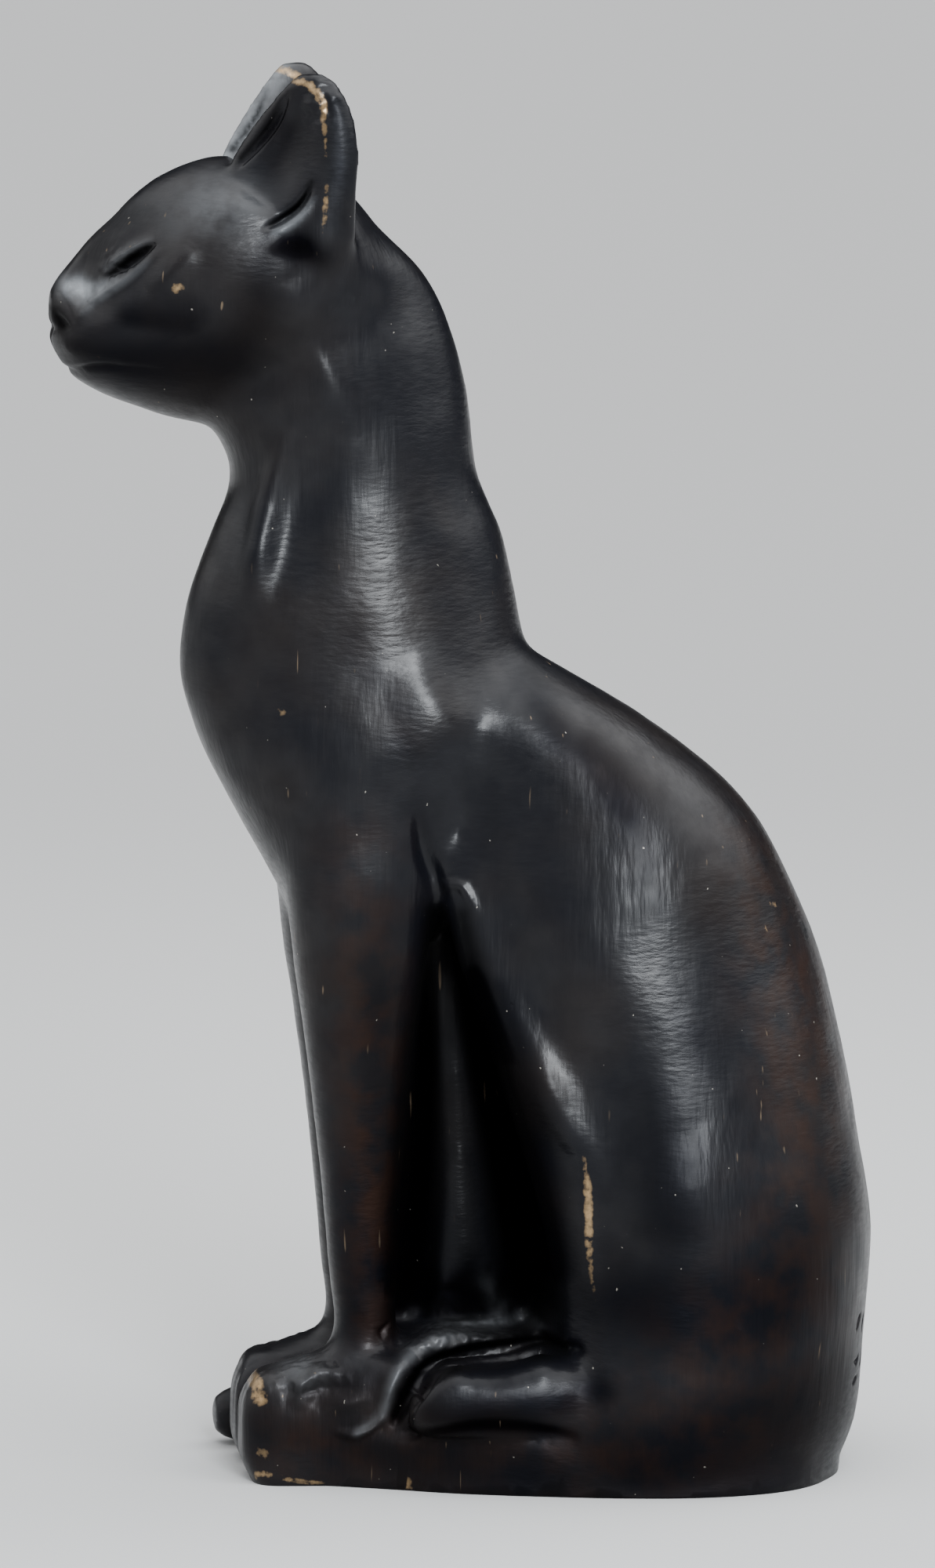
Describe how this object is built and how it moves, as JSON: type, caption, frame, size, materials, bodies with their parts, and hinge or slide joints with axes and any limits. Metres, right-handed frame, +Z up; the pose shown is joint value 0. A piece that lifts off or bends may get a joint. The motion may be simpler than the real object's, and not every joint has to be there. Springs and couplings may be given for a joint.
{
  "type": "cat statuette",
  "caption": "Seated cat cast in bronze: upright on a low base, ears pricked, front legs straight, tail laid round its right side.",
  "frame": {"origin": "on the flat underside, on the figure's centre plane, between the front legs and the haunches", "axes": "+Z up, the cat faces -Y, its left side is +X"},
  "size_m": [0.0493, 0.0878, 0.1502],
  "materials": {
    "patinated_bronze": "near-black brown patina, waxed, worn to the metal at edges"
  },
  "bodies": {
    "root": {"cat_statuette": "patinated_bronze"}
  },
  "joints": []
}
